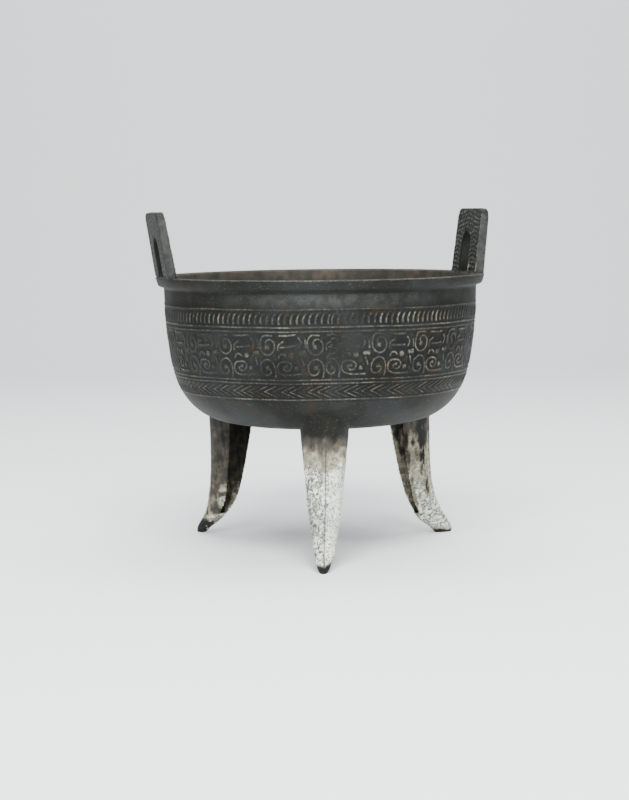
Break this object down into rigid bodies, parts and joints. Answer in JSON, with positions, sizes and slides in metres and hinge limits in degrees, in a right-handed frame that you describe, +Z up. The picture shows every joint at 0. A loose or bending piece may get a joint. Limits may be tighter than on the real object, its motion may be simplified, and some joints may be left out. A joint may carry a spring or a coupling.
{
  "type": "bronze ding vessel",
  "caption": "Ancient cast bronze tripod ding: deep round bowl with banded relief, loop handles on the lip and hollow-backed legs.",
  "frame": {"origin": "on the ground on the axis of the bowl's mouth, between the three feet; the left handle leans out further than the right, so the middle of the bounding box lies 1.4 mm towards -X", "axes": "+Z up out of the bowl's mouth; -Y points at the front leg, within 1.5 degrees; the handles stand at +X and -X, turned 12 and 13 degrees about Z"},
  "size_m": [0.2087, 0.2, 0.2055],
  "materials": {
    "patinated_bronze": "aged"
  },
  "bodies": {
    "root": {"ding": "patinated_bronze"}
  },
  "joints": []
}
